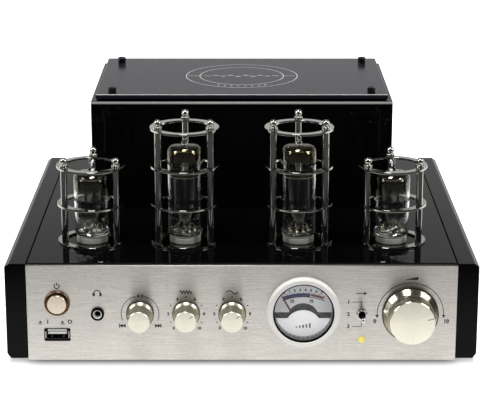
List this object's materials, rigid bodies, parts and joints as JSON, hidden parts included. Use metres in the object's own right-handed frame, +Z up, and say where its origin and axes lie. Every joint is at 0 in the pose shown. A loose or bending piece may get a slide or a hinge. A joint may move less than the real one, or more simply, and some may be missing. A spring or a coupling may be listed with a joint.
{
  "type": "valve amplifier",
  "caption": "Low stereo valve amplifier: brushed front with turned knobs and a needle meter, guarded glass valves on a black deck, and a black box over the transformer.",
  "frame": {"origin": "middle of the outer box on the surface that the feet stand on", "axes": "+X to the right as seen from the front, +Y to the back, +Z up"},
  "size_m": [0.28, 0.2834, 0.1465],
  "materials": {
    "panel_aluminium": "horizontally brushed, clear anodised",
    "black_gloss": "black gloss lacquer",
    "black_steel": "black satin powder coat",
    "foot_rubber": "moulded",
    "black_screw": "black oxide",
    "guard_chrome": "polished plate",
    "valve_glass": "clear",
    "electrode_grey": "dull grey",
    "socket_ceramic": "white, unglazed",
    "knob_aluminium": "bright turned, warm silver",
    "shaft_steel": "plated",
    "control_plastic": "moulded",
    "copper_ring": "copper-coloured, polished",
    "cream_plastic": "moulded",
    "black_plastic": "moulded",
    "red_plastic": "moulded",
    "amber_lens": "tinted lens",
    "bezel_aluminium": "turned, bright",
    "meter_glass": "clear",
    "dial_paper": "printed card",
    "needle_paint": "dark red",
    "terminal_gold": "gold plated",
    "core_steel": "varnished laminations",
    "winding_wrap": "taped coil",
    "can_sleeve": "sleeved",
    "board_green": "solder-masked board"
  },
  "bodies": {
    "amplifier": {"base_tray": "black_steel", "cover_screws": "black_screw", "cover_top_plate": "black_gloss", "deck_plate": "black_gloss", "feet": "foot_rubber", "filter_cans": "can_sleeve", "front_panel": "panel_aluminium", "guard_rings_1": "guard_chrome", "guard_rings_2": "guard_chrome", "guard_rings_3": "guard_chrome", "guard_rings_4": "guard_chrome", "guard_rods": "guard_chrome", "heat_sink": "bezel_aluminium", "left_cheek": "black_gloss", "main_board": "board_green", "mains_inlet": "black_plastic", "meter_bezel": "bezel_aluminium", "meter_case": "black_plastic", "meter_dial": "dial_paper", "meter_glass": "meter_glass", "meter_mask": "dial_paper", "phones_jack": "black_plastic", "post_studs": "terminal_gold", "power_ring": "copper_ring", "power_switch": "control_plastic", "rca_jacks": "terminal_gold", "rear_panel": "black_steel", "right_cheek": "black_gloss", "short_valve_electrodes": "electrode_grey", "source_lamp": "amber_lens", "tall_valve_electrodes": "electrode_grey", "terminal_plates": "black_plastic", "toggle_bushing": "shaft_steel", "toggle_switch": "control_plastic", "tone_controls": "control_plastic", "track_encoder": "control_plastic", "transformer_core": "core_steel", "transformer_cover": "black_gloss", "transformer_winding": "winding_wrap", "usb_port": "black_plastic", "valve_glass": "valve_glass", "valve_sockets": "socket_ceramic", "valve_tips": "valve_glass", "volume_control": "control_plastic"},
    "volume_dial": {"volume_knob": "knob_aluminium", "volume_shaft": "shaft_steel"},
    "treble_dial": {"treble_knob": "knob_aluminium", "treble_shaft": "shaft_steel"},
    "bass_dial": {"bass_knob": "knob_aluminium", "bass_shaft": "shaft_steel"},
    "track_plunger": {"track_shaft": "shaft_steel"},
    "track_grip": {"track_knob": "knob_aluminium"},
    "power_button": {"power_cap": "cream_plastic"},
    "source_lever": {"toggle_lever": "shaft_steel"},
    "meter_pointer": {"meter_needle": "needle_paint"},
    "post_nut_1": {"post_cap_1": "black_plastic"},
    "post_nut_2": {"post_cap_2": "red_plastic"},
    "post_nut_3": {"post_cap_3": "black_plastic"},
    "post_nut_4": {"post_cap_4": "red_plastic"},
    "fuse_tray": {"fuse_drawer": "black_plastic"}
  },
  "joints": [
    {"name": "volume_turn", "type": "hinge", "parent": "amplifier", "child": "volume_dial", "pos_m": [0.0999, -0.12585, 0.0367], "axis": [0, 1, 0], "range_deg": [-228, 72]},
    {"name": "treble_turn", "type": "hinge", "parent": "amplifier", "child": "treble_dial", "pos_m": [-0.033, -0.12585, 0.037], "axis": [0, 1, 0], "range_deg": [-197, 103]},
    {"name": "bass_turn", "type": "hinge", "parent": "amplifier", "child": "bass_dial", "pos_m": [-0.0057, -0.12585, 0.037], "axis": [0, 1, 0], "range_deg": [-197, 103]},
    {"name": "track_push", "type": "slide", "parent": "amplifier", "child": "track_plunger", "axis": [0, 1, 0], "range_m": [0, 0.0005], "stiffness_N_per_m": 3000},
    {"name": "track_turn", "type": "hinge", "parent": "track_plunger", "child": "track_grip", "pos_m": [-0.06031, -0.12585, 0.037], "axis": [0, 1, 0], "range_deg": [-25, 25], "stiffness_Nm_per_rad": 0.05},
    {"name": "power_push", "type": "slide", "parent": "amplifier", "child": "power_button", "axis": [0, 1, 0], "range_m": [0, 0.003], "stiffness_N_per_m": 600},
    {"name": "source_flip", "type": "hinge", "parent": "amplifier", "child": "source_lever", "pos_m": [0.07121, -0.12525, 0.0368], "axis": [1, 0, 0], "range_deg": [-13, 13]},
    {"name": "meter_swing", "type": "hinge", "parent": "amplifier", "child": "meter_pointer", "pos_m": [0.03659, -0.12585, 0.0233], "axis": [0, 1, 0], "range_deg": [0, 58], "stiffness_Nm_per_rad": 0.00005},
    {"name": "fuse_pull", "type": "slide", "parent": "amplifier", "child": "fuse_tray", "axis": [0, 1, 0], "range_m": [0, 0.014]},
    {"name": "post_turn_1", "type": "hinge", "parent": "amplifier", "child": "post_nut_1", "pos_m": [-0.00453, 0.12615, 0.0285], "axis": [0, 1, 0], "range_deg": [0, 350]},
    {"name": "post_turn_2", "type": "hinge", "parent": "amplifier", "child": "post_nut_2", "pos_m": [-0.00453, 0.12615, 0.0475], "axis": [0, 1, 0], "range_deg": [0, 350]},
    {"name": "post_turn_3", "type": "hinge", "parent": "amplifier", "child": "post_nut_3", "pos_m": [0.01447, 0.12615, 0.0285], "axis": [0, 1, 0], "range_deg": [0, 350]},
    {"name": "post_turn_4", "type": "hinge", "parent": "amplifier", "child": "post_nut_4", "pos_m": [0.01447, 0.12615, 0.0475], "axis": [0, 1, 0], "range_deg": [0, 350]}
  ]
}
